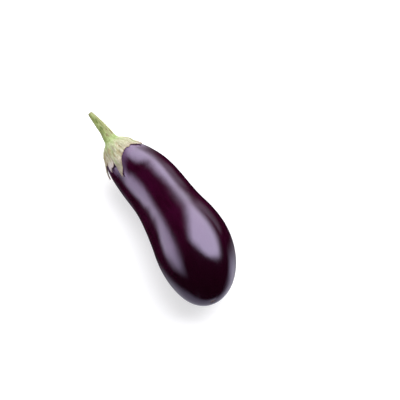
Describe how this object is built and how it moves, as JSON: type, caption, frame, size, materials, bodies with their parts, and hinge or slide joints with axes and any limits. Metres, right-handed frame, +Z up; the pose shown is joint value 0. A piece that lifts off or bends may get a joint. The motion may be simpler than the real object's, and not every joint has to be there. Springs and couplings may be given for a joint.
{
  "type": "eggplant",
  "caption": "Whole purple eggplant lying on its side: slightly bowed fruit with a neck and a full belly, a lobed green calyx and a tapering cut stem.",
  "frame": {"origin": "on the narrow flat strip that the fruit rests on, 9 mm from under its centre of mass towards the blossom end", "axes": "+Z up from the surface it lies on, +X along the fruit from the cut stem to the blossom end, +Y towards the outside of its bow"},
  "size_m": [0.2377, 0.0795, 0.0763],
  "materials": {
    "skin": "smooth waxy skin, almost black purple with a maroon cast, glossy",
    "calyx": "dry matt leaf, pale green near the stem and cream to brown at its lobes",
    "stem": "fibrous ridged stalk, yellow green with brown flecks, satin"
  },
  "bodies": {
    "root": {"fruit": "skin", "calyx": "calyx", "stem": "stem"}
  },
  "joints": []
}
